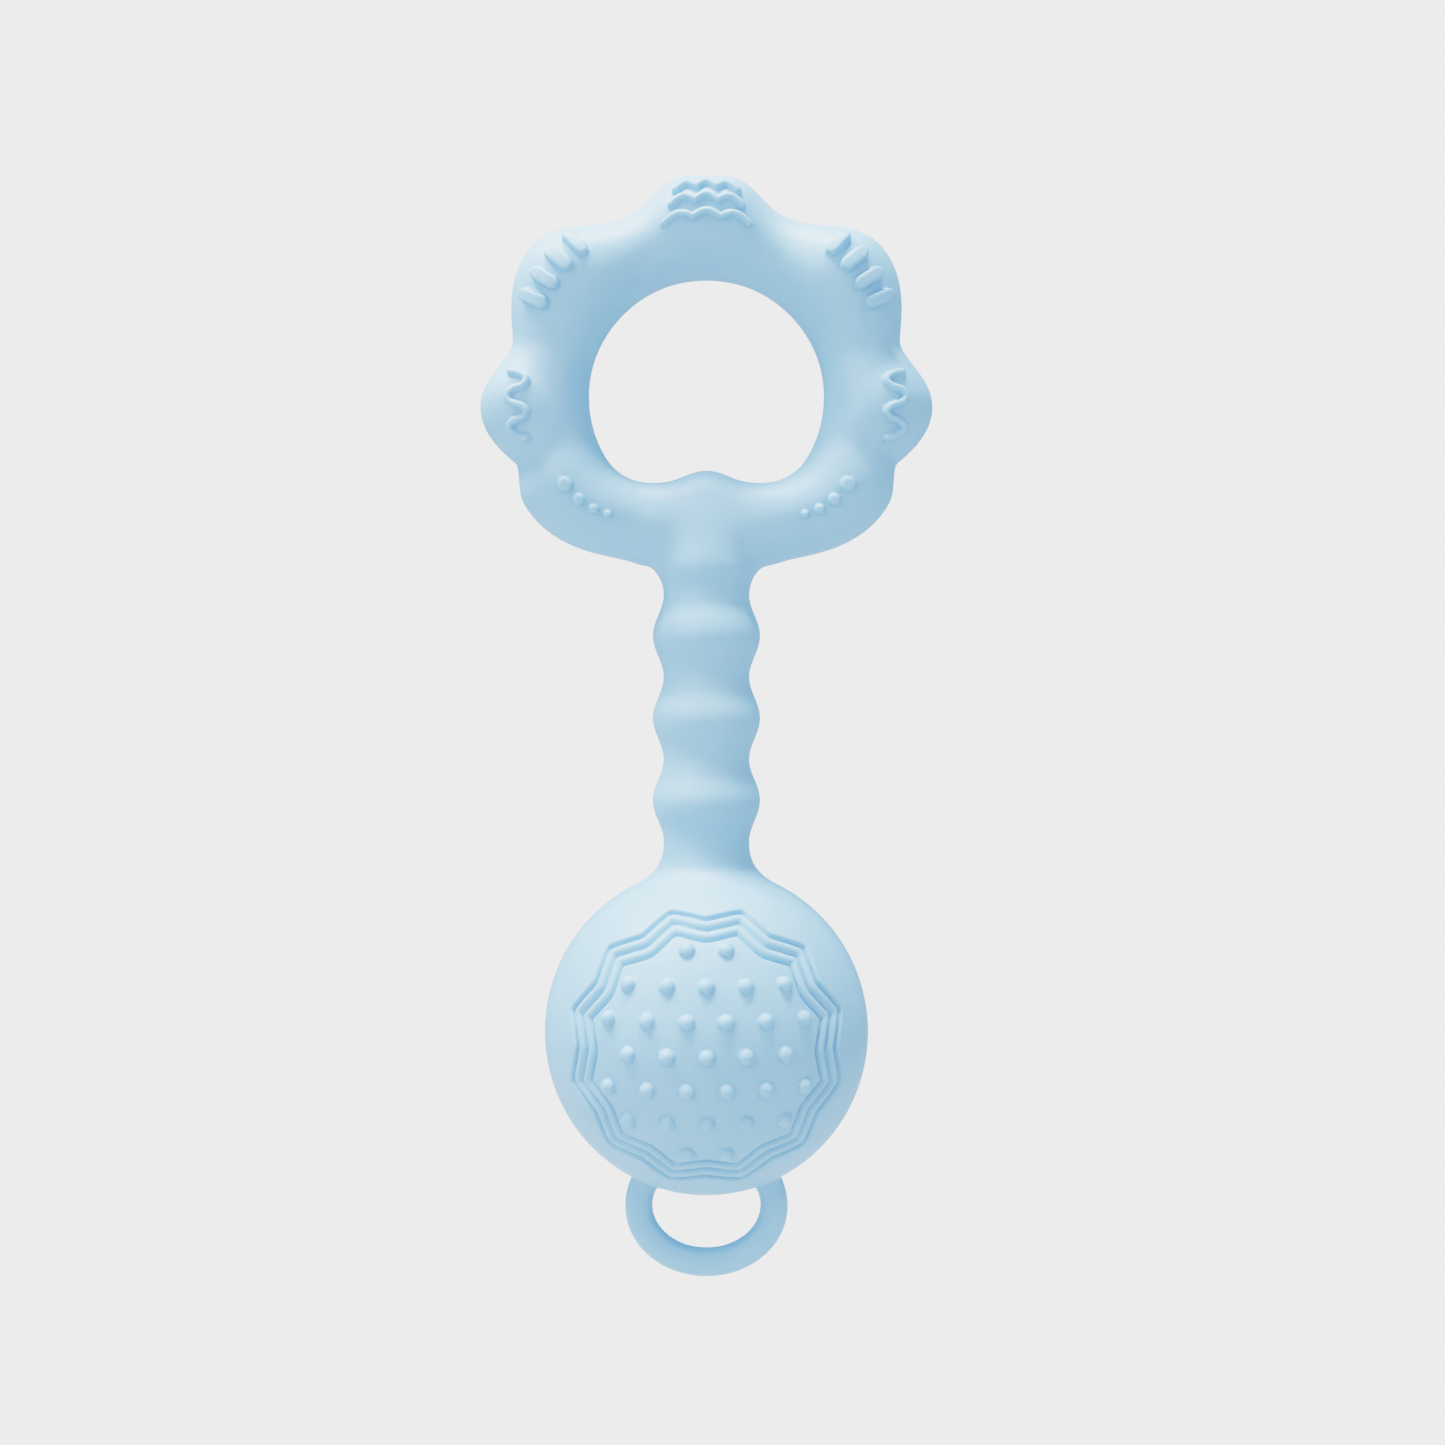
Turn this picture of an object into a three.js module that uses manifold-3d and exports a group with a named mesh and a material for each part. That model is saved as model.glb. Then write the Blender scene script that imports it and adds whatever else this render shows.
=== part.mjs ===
// Silicone rattle teether: a lobed biting ring on a ribbed grip, a textured ball that holds a rattle
// capsule with loose beads, and a strap loop. Millimetres. +Z runs up the grip, the front faces -Y,
// and the origin is the middle of the grip.
import * as THREE from 'three';
import { ParametricGeometry } from 'three/addons/geometries/ParametricGeometry.js';
import { mergeVertices } from 'three/addons/utils/BufferGeometryUtils.js';
import Module from 'manifold-3d';

const wasm = await Module();
wasm.setup();

// Fit
const GAP = 0.3;

// Biting ring. Angles are in degrees from +X, and radii are measured from the ring's centre.
const RING_CENTRE_Z = 48.15;
const RING_OUTLINE = [[90, 32.9], [84, 32.9], [65, 29.2], [40, 34.4], [15, 30], [-3.5, 33.9], [-20, 30.2],
  [-31, 31.75], [-66, 27.1], [-90, 24.9]];
const LOBE_FULLNESS = 1.6;
const HOLE_RADIUS = 17.6;
const HOLE_FLOOR_RADIUS = 11.2;
const HOLE_ROUND_DOWN_TO = -32;
const RING_HALF_DEPTH = 5.7;
const RING_WAIST = 27.8;
const LOBE_DEPTH_SHARE = 0.48;
const RING_STEPS = 48;
const RING_SECTION_STEPS = 12;

// Ribbed grip
const GRIP_MEAN_RADIUS = 7.25;
const GRIP_RIB_HEIGHT = 0.82;
const GRIP_RIB_PITCH = 12.3;
const GRIP_WAVY_FROM = -18.45;
const GRIP_WAVY_TO = 21.8;
const GRIP_WAVY_STEPS = 26;
const GRIP_STEPS = 16;
// Where the grip spreads into the ball and fades into the ring: [height, radius].
const NECK_FLARE = [[-30.5, 11], [-28.2, 15], [-25.6, 12], [-23.6, 8.7], [-21.6, 7.1]];
const RING_RIDGE = [[26.5, 6], [32, 4.4], [34.8, 3], [36, 0]];

// Ball and its hollow
const BALL_CENTRE_Z = -46.65;
const BALL_RADIUS = 24.15;
const SILICONE_WALL = 3.5;
const HOLLOW_RADIUS = BALL_RADIUS - SILICONE_WALL;

// Rear cover, a cap of the ball outside the star grooves. Its spigot is bonded into the opening that
// the capsule goes in through. Depths are from the ball's centre.
const COVER_RIM_DEPTH = 12.6;
const SPIGOT_RADIUS = 18.9;
const SPIGOT_DEPTH = 11;

// Rattle capsule, two halves with a lip joint
const CAPSULE_RADIUS = HOLLOW_RADIUS - GAP;
const CAPSULE_WALL = 1.8;
const CAPSULE_INNER_RADIUS = CAPSULE_RADIUS - CAPSULE_WALL;
const LIP_LENGTH = 1.6;

// Beads: one on the long axis and the rest in a ring of lanes around it
const BEAD_RADIUS = 3;
const BEAD_LANES = 6;
const BEAD_LANE_RADIUS = 7.2;
const BEAD_CLEARANCE = 0.35;

// Strap loop, an elliptical ring with flat faces
const LOOP_CENTRE_Z = -73;
const LOOP_HALF_WIDTH = 10.15;
const LOOP_HALF_HEIGHT = 8.5;
const LOOP_BAND_HALF_WIDTH = 2.05;
const LOOP_HALF_DEPTH = 1.8;
const LOOP_CHAMFER = 0.9;

// Massage nubs on the ball, a triangular grid seen along the front axis
const NUB_PITCH = 5.46;
const NUB_ROW_PITCH = NUB_PITCH * Math.sqrt(3) / 2;
const NUB_FIELD_RADIUS = 15;
const NUB_RADIUS = 1.15;
const NUB_SINK = 0.2;

// Star grooves around the nubs: [valley, peak] radius from the ball's front axis
const STAR_POINTS = 12;
const STAR_GROOVES = [[15.4, 16.85], [16.85, 18.5], [18.3, 19.9]];
const GROOVE_HALF_WIDTH = 0.45;
const GROOVE_DEPTH = 0.7;

// Ring textures
const BAR_ANGLES = [28, 34.6, 41.2, 47.8];
const BAR_CENTRE_RADIUS = 28.5;
const BAR_LENGTH = 4.7;
const BAR_HALF_WIDTH = 0.95;
const BAR_HEIGHT = 0.75;
const DOTS = [[-34.3, 25, 1.15], [-41, 24.75, 0.9], [-46.7, 24.15, 0.75], [-51.6, 23.3, 0.58]];
const DOT_HEIGHT = 0.6;
const WAVES = [[30.25, 4.5], [28.15, 5.1], [25.7, 6.1]];
const WAVE_HUMPS = 3;
const WAVE_HUMP_SHARE = 0.14;
const WAVE_DROP_SHARE = 0.15;
// Turning points [distance from the long axis, height above the ring's centre]. The line swings from
// one to the next, and it starts and ends halfway through the first swing and the last.
const SERPENTINE_TURNS = [[30.8, 3.6], [26.2, 1], [28.85, -1.25], [26.25, -3.6], [28.65, -5.5], [23.8, -8.6]];
const RIDGE_HALF_WIDTH = 0.42;
const RIDGE_HEIGHT = 0.6;
const SINK = 0.6;

// Facets
const NUB_FIELD_ROWS = [0, 5.5, 10.5];
const BALL_SIDE_ROW = 23.4;
const HIDDEN_STEPS = 24;
const HIDDEN_ARC_STEPS = 6;

const { degToRad, radToDeg, clamp } = THREE.MathUtils;

function solid(geometry) {
  const bare = geometry.clone();
  bare.deleteAttribute('normal');
  bare.deleteAttribute('uv');
  const merged = mergeVertices(bare, 1e-4);
  const index = merged.index.array;
  const triVerts = [];
  for (let i = 0; i < index.length; i += 3) {
    const [a, b, c] = [index[i], index[i + 1], index[i + 2]];
    if (a !== b && b !== c && c !== a) triVerts.push(a, b, c);
  }
  const make = () => new wasm.Manifold(new wasm.Mesh({
    numProp: 3,
    vertProperties: merged.attributes.position.array,
    triVerts: new Uint32Array(triVerts),
  }));
  const made = make();
  if (made.volume() > 0) return made;
  // The faces pointed inwards, so the order of the corners is reversed.
  triVerts.reverse();
  return make();
}

function geometryOf(manifold) {
  const mesh = manifold.getMesh();
  const geometry = new THREE.BufferGeometry();
  geometry.setAttribute('position', new THREE.Float32BufferAttribute(mesh.vertProperties, 3));
  geometry.setIndex(new THREE.Uint32BufferAttribute(mesh.triVerts, 1));
  return geometry;
}

function join(base, additions) {
  return additions.reduce((sum, geometry) => sum.add(solid(geometry)), base);
}

function cut(base, cutters) {
  return cutters.reduce((rest, geometry) => rest.subtract(solid(geometry)), base);
}

// Stands a geometry whose own axis is +Y on a surface point, facing along the surface's normal.
function standOn(geometry, spot) {
  const turn = new THREE.Quaternion().setFromUnitVectors(new THREE.Vector3(0, 1, 0), spot.normal);
  return geometry.applyQuaternion(turn).translate(...spot.point);
}

// Ring surface

function outlineRadius(degrees) {
  for (let i = 1; i < RING_OUTLINE.length; i += 1) {
    const [fromAngle, fromRadius] = RING_OUTLINE[i - 1];
    const [toAngle, toRadius] = RING_OUTLINE[i];
    if (degrees < toAngle) continue;
    const share = (degrees - toAngle) / (fromAngle - toAngle);
    const low = Math.min(fromRadius, toRadius);
    const rise = Math.abs(fromRadius - toRadius);
    const fromLow = fromRadius > toRadius ? share : 1 - share;
    return low + rise * Math.sin(fromLow * Math.PI / 2) ** LOBE_FULLNESS;
  }
  return RING_OUTLINE.at(-1)[1];
}

function holeRadius(degrees) {
  if (degrees > HOLE_ROUND_DOWN_TO) return HOLE_RADIUS;
  const share = (HOLE_ROUND_DOWN_TO - degrees) / (HOLE_ROUND_DOWN_TO + 90);
  return HOLE_RADIUS - (HOLE_RADIUS - HOLE_FLOOR_RADIUS) * Math.sin(share * Math.PI / 2) ** 2;
}

// The band's middle radius, half width and half depth at an angle on either side of the long axis.
function bandAt(angle) {
  const degrees = radToDeg(Math.asin(Math.sin(angle)));
  const outer = outlineRadius(degrees);
  const inner = holeRadius(degrees);
  const halfDepth = RING_HALF_DEPTH + LOBE_DEPTH_SHARE * Math.max(0, outer - RING_WAIST);
  return { middle: (outer + inner) / 2, halfWidth: (outer - inner) / 2, halfDepth };
}

function ringPoint(angle, section) {
  const band = bandAt(angle);
  const radius = band.middle + band.halfWidth * Math.cos(section);
  return new THREE.Vector3(
    radius * Math.cos(angle),
    band.halfDepth * Math.sin(section),
    RING_CENTRE_Z + radius * Math.sin(angle),
  );
}

// The spot on the ring's face above (x, z), on the side that side (-1 front, 1 back) names.
function ringSpot(x, z, side) {
  const angle = Math.atan2(z - RING_CENTRE_Z, x);
  const band = bandAt(angle);
  const across = (Math.hypot(x, z - RING_CENTRE_Z) - band.middle) / band.halfWidth;
  const section = side * Math.acos(clamp(across, -1, 1));
  const step = 0.01;
  const point = ringPoint(angle, section);
  const along = ringPoint(angle + step, section).sub(ringPoint(angle - step, section));
  const around = ringPoint(angle, section + step).sub(ringPoint(angle, section - step));
  const normal = around.cross(along).normalize();
  return { point, normal };
}

function ringSpotPolar(degrees, radius, mirror, side) {
  const angle = degToRad(degrees);
  const x = mirror * radius * Math.cos(angle);
  return ringSpot(x, RING_CENTRE_Z + radius * Math.sin(angle), side);
}

function ringGeometry() {
  return new ParametricGeometry((u, v, target) => {
    const angle = u * 2 * Math.PI;
    target.copy(ringPoint(angle, v * 2 * Math.PI));
  }, RING_STEPS, RING_SECTION_STEPS);
}

// Grip

function gripGeometry() {
  const ribs = Array.from({ length: GRIP_WAVY_STEPS + 1 }, (_, i) => {
    const z = GRIP_WAVY_FROM + (GRIP_WAVY_TO - GRIP_WAVY_FROM) * i / GRIP_WAVY_STEPS;
    return [z, GRIP_MEAN_RADIUS + GRIP_RIB_HEIGHT * Math.cos(2 * Math.PI * z / GRIP_RIB_PITCH)];
  });
  const profile = [[NECK_FLARE[0][0], 0], ...NECK_FLARE, ...ribs, ...RING_RIDGE]
    .map(([z, radius]) => new THREE.Vector2(radius, z));
  return new THREE.LatheGeometry(profile, GRIP_STEPS).rotateX(Math.PI / 2);
}

// Ball

// A sphere's arc from the front axis out to a reach: x is the distance from that axis, y the depth.
function arc(radius, reach, steps) {
  const last = Math.asin(reach / radius);
  return Array.from({ length: steps + 1 }, (_, i) => {
    const angle = last * i / steps;
    return new THREE.Vector2(radius * Math.sin(angle), radius * Math.cos(angle));
  });
}

// A body of revolution about the ball's front axis, on its back for side 1 or its front for -1.
function turned(profile, side, steps = HIDDEN_STEPS) {
  const geometry = new THREE.LatheGeometry(profile, steps);
  if (side < 0) geometry.rotateX(Math.PI);
  return geometry.translate(0, 0, BALL_CENTRE_Z);
}

// The ball as a polar grid about its front axis, whose rows follow the star grooves on both faces.
// A row is [radius at a valley, radius at a peak, depth below the sphere].
function ballGeometry() {
  const half = NUB_FIELD_ROWS.map((radius) => [radius, radius, 0]);
  for (const [valley, peak] of STAR_GROOVES) {
    for (const [offset, depth] of [[-1, 0], [0, GROOVE_DEPTH], [1, 0]]) {
      half.push([valley + offset * GROOVE_HALF_WIDTH, peak + offset * GROOVE_HALF_WIDTH, depth]);
    }
  }
  half.push([BALL_SIDE_ROW, BALL_SIDE_ROW, 0]);
  const equator = [BALL_RADIUS, BALL_RADIUS, 0];
  const rows = [...half, equator, ...[...half].reverse()];
  const corners = 2 * STAR_POINTS;
  return new ParametricGeometry((u, v, target) => {
    const corner = Math.round(u * corners);
    const row = Math.round(v * (rows.length - 1));
    const [valley, peak, depth] = rows[row];
    const angle = Math.PI / 2 + corner * Math.PI / STAR_POINTS;
    const radius = corner % 2 ? peak : valley;
    const side = Math.sign(row - half.length);
    const height = side * Math.sqrt(BALL_RADIUS ** 2 - radius ** 2);
    target.set(radius * Math.cos(angle), height, radius * Math.sin(angle));
    target.multiplyScalar(1 - depth / BALL_RADIUS);
    target.z += BALL_CENTRE_Z;
  }, corners, rows.length - 1);
}

// The spot on the ball at (x, z) from its front axis, on the side that side names.
function ballSpot(x, z, side) {
  const outward = new THREE.Vector3(x, side * Math.sqrt(BALL_RADIUS ** 2 - x * x - z * z), z);
  const normal = outward.clone().normalize();
  const point = outward.add(new THREE.Vector3(0, 0, BALL_CENTRE_Z));
  return { normal, point };
}

function nubs(side) {
  const made = [];
  const rows = Math.floor(NUB_FIELD_RADIUS / NUB_ROW_PITCH);
  const columns = Math.ceil(NUB_FIELD_RADIUS / NUB_PITCH);
  for (let row = -rows; row <= rows; row += 1) {
    for (let column = -columns; column <= columns; column += 1) {
      const x = (column + Math.abs(row % 2) / 2) * NUB_PITCH;
      const z = row * NUB_ROW_PITCH;
      if (Math.hypot(x, z) > NUB_FIELD_RADIUS) continue;
      const nub = new THREE.SphereGeometry(NUB_RADIUS, 6, 3).translate(0, -NUB_SINK, 0);
      made.push(standOn(nub, ballSpot(x, z, side)));
    }
  }
  return made;
}

// A raised ridge along a route of surface spots, tapering to a point at both ends.
function ridge(spotAt, steps) {
  const sides = 4;
  const step = 0.002;
  return new ParametricGeometry((u, v, target) => {
    const { point, normal } = spotAt(u);
    const ahead = spotAt(Math.min(1, u + step)).point;
    const behind = spotAt(Math.max(0, u - step)).point;
    const across = ahead.sub(behind).cross(normal).normalize();
    const taper = Math.sqrt(Math.max(0, 1 - Math.abs(2 * u - 1) ** 12));
    const turn = v * 2 * Math.PI;
    target.copy(point)
      .addScaledVector(across, taper * RIDGE_HALF_WIDTH * Math.cos(turn))
      .addScaledVector(normal, taper * RIDGE_HEIGHT * Math.sin(turn));
  }, steps, sides);
}

// Raised textures on the ring

function bars(side) {
  const made = [];
  for (const mirror of [-1, 1]) {
    for (const degrees of BAR_ANGLES) {
      const straight = BAR_LENGTH / 2 - BAR_HALF_WIDTH;
      const outline = new THREE.Shape();
      outline.absarc(straight, 0, BAR_HALF_WIDTH, -Math.PI / 2, Math.PI / 2, false);
      outline.absarc(-straight, 0, BAR_HALF_WIDTH, Math.PI / 2, 3 * Math.PI / 2, false);
      const bar = new THREE.ExtrudeGeometry(outline, {
        depth: SINK + BAR_HEIGHT, curveSegments: 3, bevelEnabled: false,
      });
      const { point, normal } = ringSpotPolar(degrees, BAR_CENTRE_RADIUS, mirror, side);
      const outward = point.clone().setY(0).sub(new THREE.Vector3(0, 0, RING_CENTRE_Z));
      const across = normal.clone().cross(outward).normalize();
      const along = across.clone().cross(normal);
      const place = new THREE.Matrix4().makeBasis(along, across, normal);
      place.setPosition(point.clone().addScaledVector(normal, -SINK));
      made.push(bar.applyMatrix4(place));
    }
  }
  return made;
}

function dots(side) {
  const made = [];
  for (const mirror of [-1, 1]) {
    for (const [degrees, radius, dotRadius] of DOTS) {
      const dot = new THREE.CylinderGeometry(dotRadius * 0.75, dotRadius, SINK + DOT_HEIGHT, 6);
      dot.translate(0, (DOT_HEIGHT - SINK) / 2, 0);
      made.push(standOn(dot, ringSpotPolar(degrees, radius, mirror, side)));
    }
  }
  return made;
}

function waves(side) {
  return WAVES.map(([top, halfWidth]) => ridge((u) => {
    const share = 2 * u - 1;
    const hump = Math.abs(Math.cos(share * WAVE_HUMPS * Math.PI / 2)) - 1;
    const drop = WAVE_HUMP_SHARE * halfWidth * hump - WAVE_DROP_SHARE * halfWidth * share * share;
    return ringSpot(share * halfWidth, RING_CENTRE_Z + top + drop, side);
  }, WAVE_HUMPS * 4));
}

// Where the serpentine is, from 0 at its start to 1 at its end.
function serpentinePoint(u) {
  const swings = SERPENTINE_TURNS.length - 1;
  const run = 0.5 + u * (swings - 1);
  const swing = Math.min(Math.floor(run), swings - 1);
  const [[fromX, fromZ], [toX, toZ]] = SERPENTINE_TURNS.slice(swing, swing + 2);
  const share = run - swing;
  const eased = (1 - Math.cos(share * Math.PI)) / 2;
  return [fromX + (toX - fromX) * eased, fromZ + (toZ - fromZ) * share];
}

function serpentines(side) {
  return [-1, 1].map((mirror) => ridge((u) => {
    const [x, z] = serpentinePoint(u);
    return ringSpot(mirror * x, RING_CENTRE_Z + z, side);
  }, (SERPENTINE_TURNS.length - 1) * 4));
}

// Strap loop

function loopGeometry() {
  const flatWidth = LOOP_BAND_HALF_WIDTH - LOOP_CHAMFER;
  const flatDepth = LOOP_HALF_DEPTH - LOOP_CHAMFER;
  const corners = [
    [LOOP_BAND_HALF_WIDTH, -flatDepth], [LOOP_BAND_HALF_WIDTH, flatDepth],
    [flatWidth, LOOP_HALF_DEPTH], [-flatWidth, LOOP_HALF_DEPTH],
    [-LOOP_BAND_HALF_WIDTH, flatDepth], [-LOOP_BAND_HALF_WIDTH, -flatDepth],
    [-flatWidth, -LOOP_HALF_DEPTH], [flatWidth, -LOOP_HALF_DEPTH],
  ];
  return new ParametricGeometry((u, v, target) => {
    const [out, depth] = corners[Math.round(v * corners.length) % corners.length];
    const angle = u * 2 * Math.PI;
    target.set(
      (LOOP_HALF_WIDTH + out) * Math.cos(angle),
      depth,
      LOOP_CENTRE_Z + (LOOP_HALF_HEIGHT + out) * Math.sin(angle),
    );
  }, 24, corners.length);
}

// Nodes

// All that lies on the rear side of the joint between the body and its cover, or on its front side.
// It is moved by half the gap, so that the two pieces stay apart.
function jointSide(side) {
  const far = 2 * BALL_RADIUS;
  const clearance = -side * GAP / 2;
  const rim = COVER_RIM_DEPTH + clearance;
  const spigotEnd = SPIGOT_DEPTH + clearance;
  const spigot = SPIGOT_RADIUS - clearance;
  return turned([
    new THREE.Vector2(0, spigotEnd),
    new THREE.Vector2(spigot, spigotEnd),
    new THREE.Vector2(spigot, rim),
    new THREE.Vector2(far, rim),
    new THREE.Vector2(far, side * far),
    new THREE.Vector2(0, side * far),
  ], 1);
}

function hollow() {
  return new THREE.SphereGeometry(HOLLOW_RADIUS, HIDDEN_STEPS, 2 * HIDDEN_ARC_STEPS)
    .translate(0, 0, BALL_CENTRE_Z);
}

function siliconeBody() {
  const ball = join(solid(ballGeometry()), nubs(-1));
  const opened = cut(join(ball, [gripGeometry(), loopGeometry()]), [hollow(), jointSide(1)]);
  const textures = [-1, 1].flatMap((side) => [
    ...bars(side), ...dots(side), ...waves(side), ...serpentines(side),
  ]);
  return geometryOf(join(opened, [ringGeometry(), ...textures]));
}

function rearCover() {
  return geometryOf(cut(join(solid(ballGeometry()), nubs(1)), [hollow(), jointSide(-1)]));
}

function capsuleHalf(side) {
  const seam = side * GAP / 2;
  const middle = (CAPSULE_RADIUS + CAPSULE_INNER_RADIUS) / 2;
  const quarter = (radius) => arc(radius, radius, HIDDEN_ARC_STEPS).slice(0, -1);
  const lip = side < 0
    ? [[CAPSULE_RADIUS, -seam], [middle - GAP / 2, -seam], [middle - GAP / 2, -LIP_LENGTH],
      [CAPSULE_INNER_RADIUS, -LIP_LENGTH], [CAPSULE_INNER_RADIUS, 0]]
    : [[CAPSULE_RADIUS, seam], [middle + GAP / 2, seam], [middle + GAP / 2, LIP_LENGTH + GAP],
      [CAPSULE_INNER_RADIUS, LIP_LENGTH + GAP]];
  const inner = quarter(CAPSULE_INNER_RADIUS).filter(({ y }) => side < 0 || y > LIP_LENGTH + GAP);
  return geometryOf(solid(turned([
    ...quarter(CAPSULE_RADIUS),
    ...lip.map(([radius, height]) => new THREE.Vector2(radius, height)),
    ...inner.reverse(),
  ], side)));
}

function bead(laneRadius, laneAngle) {
  const reach = CAPSULE_INNER_RADIUS - BEAD_RADIUS - BEAD_CLEARANCE;
  const drop = Math.sqrt(reach ** 2 - laneRadius ** 2);
  return new THREE.SphereGeometry(BEAD_RADIUS, 10, 6).rotateX(Math.PI / 2).translate(
    laneRadius * Math.cos(laneAngle),
    laneRadius * Math.sin(laneAngle),
    BALL_CENTRE_Z - drop,
  );
}

const silicone = { color: 0xaed0e4, roughness: 0.5, metalness: 0 };
const capsulePlastic = { color: 0xf2f2ee, roughness: 0.35, metalness: 0 };
const beadPlastic = { color: 0xf5efe0, roughness: 0.3, metalness: 0 };

const teether = new THREE.Group();

function add(name, geometry, look) {
  const mesh = new THREE.Mesh(geometry, new THREE.MeshStandardMaterial(look));
  mesh.name = name;
  teether.add(mesh);
}

add('silicone_body', siliconeBody(), silicone);
add('rear_cover', rearCover(), silicone);
add('rattle_capsule_front', capsuleHalf(-1), capsulePlastic);
add('rattle_capsule_rear', capsuleHalf(1), capsulePlastic);
add('rattle_bead_centre', bead(0, 0), beadPlastic);
for (let lane = 0; lane < BEAD_LANES; lane += 1) {
  const laneAngle = lane * 2 * Math.PI / BEAD_LANES;
  add(`rattle_bead_${lane + 1}`, bead(BEAD_LANE_RADIUS, laneAngle), beadPlastic);
}

export default teether;
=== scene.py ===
"""Silicone rattle teether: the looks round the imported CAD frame.

The silicone skin is one smooth form, a signed distance in millimetres that is turned into a mesh,
refined where the relief lies, and lifted by the relief. The capsule's halves are turned profiles, and
the beads are balls with a faint moulding line.
"""

import math

import bmesh
import bpy
import numpy as np
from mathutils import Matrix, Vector


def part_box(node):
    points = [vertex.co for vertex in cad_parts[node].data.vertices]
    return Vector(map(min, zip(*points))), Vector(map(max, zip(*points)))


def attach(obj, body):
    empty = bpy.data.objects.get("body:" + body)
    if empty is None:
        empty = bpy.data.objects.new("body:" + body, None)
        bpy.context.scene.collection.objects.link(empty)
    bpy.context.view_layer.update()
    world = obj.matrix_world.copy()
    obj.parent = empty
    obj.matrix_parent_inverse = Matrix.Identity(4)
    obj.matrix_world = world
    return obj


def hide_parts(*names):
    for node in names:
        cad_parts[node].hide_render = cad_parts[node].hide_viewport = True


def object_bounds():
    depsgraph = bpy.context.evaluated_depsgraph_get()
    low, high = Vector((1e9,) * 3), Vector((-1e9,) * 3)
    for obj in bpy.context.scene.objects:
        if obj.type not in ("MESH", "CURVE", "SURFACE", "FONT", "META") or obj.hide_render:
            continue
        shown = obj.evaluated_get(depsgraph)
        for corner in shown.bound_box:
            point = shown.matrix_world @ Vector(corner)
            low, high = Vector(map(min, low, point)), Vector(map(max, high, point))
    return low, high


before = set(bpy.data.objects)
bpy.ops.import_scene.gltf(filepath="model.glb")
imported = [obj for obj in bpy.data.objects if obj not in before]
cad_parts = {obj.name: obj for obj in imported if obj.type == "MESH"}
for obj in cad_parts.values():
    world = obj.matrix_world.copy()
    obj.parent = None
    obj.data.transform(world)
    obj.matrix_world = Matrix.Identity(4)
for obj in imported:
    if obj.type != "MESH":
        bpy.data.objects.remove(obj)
CAD_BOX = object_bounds()

MM = 0.001

# The ball, from the capsule inside it
CAPSULE_LOW, CAPSULE_HIGH = (np.array(c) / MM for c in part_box("rattle_capsule_front"))
CAPSULE_RADIUS = (CAPSULE_HIGH[0] - CAPSULE_LOW[0]) / 2
BALL_CENTRE = np.array([0.0, 0.0, (CAPSULE_LOW[2] + CAPSULE_HIGH[2]) / 2])
GAP = 0.3
SILICONE_WALL = 3.5
HOLLOW_RADIUS = CAPSULE_RADIUS + GAP
BALL_RADIUS = HOLLOW_RADIUS + SILICONE_WALL
CAPSULE_WALL = 1.8
CAPSULE_INNER_RADIUS = CAPSULE_RADIUS - CAPSULE_WALL
LIP_LENGTH = 1.6
CAPSULE_CHAMFER = 0.25
# The bead's moulding line, as shares of its radius
BEAD_FLASH_WIDTH = 0.05
BEAD_FLASH_RISE = 0.012

# Rear cover, a cap of the ball with a spigot. Depths are from the ball's centre.
COVER_RIM_DEPTH = 12.6
SPIGOT_RADIUS = 18.9
SPIGOT_DEPTH = 11.0
SEAM = 0.16
EDGE_ROUND = 0.3

# Biting ring. An outline row is (degrees from +X, radius, fullness of the curve from it to the next).
RING_CENTRE_Z = 48.15
RING_OUTLINE = ((90, 32.9, 1), (84, 32.9, 2.5), (65.3, 29.25, 2.05), (40, 34.4, 1.25), (15, 30.0, 1.8),
                (-3.5, 33.9, 1.1), (-19.8, 30.2, 1.8), (-31, 31.75, 1.45), (-66, 27.2, 4), (-90, 24.9, 1))
RING_WAIST = 27.8
HOLE_RADIUS = 17.6
HOLE_FLOOR_RADIUS = 11.55
HOLE_ROUND_DOWN_TO = -32
HOLE_RISE = 2.2
RING_HALF_DEPTH = 5.7
LOBE_DEPTH_SHARE = 0.48

# Ribbed grip
GRIP_MEAN_RADIUS = 7.25
GRIP_RIB_HEIGHT = 0.82
GRIP_RIB_PITCH = 12.3
GRIP_WAVY_FROM, GRIP_WAVY_TO = -18.45, 21.8
GRIP_TOP_Z = 32.0
GRIP_TOP_RADIUS = 4.2
NECK_BLEND = 4.5
RING_BLEND = 2.6

# Strap loop
LOOP_CENTRE_Z = -73.0
LOOP_HALF_WIDTH = 10.15
LOOP_HALF_HEIGHT = 8.5
LOOP_BAND_HALF_WIDTH = 2.05
LOOP_HALF_DEPTH = 1.8
LOOP_EDGE = 1.5
LOOP_BLEND = 0.9

# Relief
NUB_PITCH = 5.46
NUB_ROW_PITCH = NUB_PITCH * math.sqrt(3) / 2
NUB_FIELD_RADIUS = 15.0
NUB_RADIUS = 1.12
NUB_HEIGHT = 1.05
STAR_POINTS = 12
STAR_VALLEY = 18.66
STAR_PEAK = 21.08
# Rounding of the star's corners on its middle line, and its growth per millimetre outwards
STAR_VALLEY_ROUND, STAR_VALLEY_GROWTH = 0.7, -0.15
STAR_PEAK_ROUND, STAR_PEAK_GROWTH = 0.3, 0.12
GROOVE_PITCH = 2.03
GROOVE_DEPTH = 1.0
GROOVE_OUTER_WALL = 0.55
GROOVE_BOTTOM_ROUND = 0.1
GROOVE_FLATNESS = 0.65
BAR_ANGLES = (27.6, 34.0, 40.8, 47.5)
BAR_CENTRE_RADIUS = 28.35
BAR_LENGTH = 4.7
BAR_HALF_WIDTH = 1.02
BAR_HEIGHT = 1.1
BAR_EDGE_SHARE = 0.3
DOTS = ((-34.3, 25.0, 1.15), (-41.0, 24.75, 0.9), (-46.7, 24.15, 0.75), (-51.6, 23.3, 0.58))
DOT_HEIGHT = 0.75
DOT_EDGE_SHARE = 0.35
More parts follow.
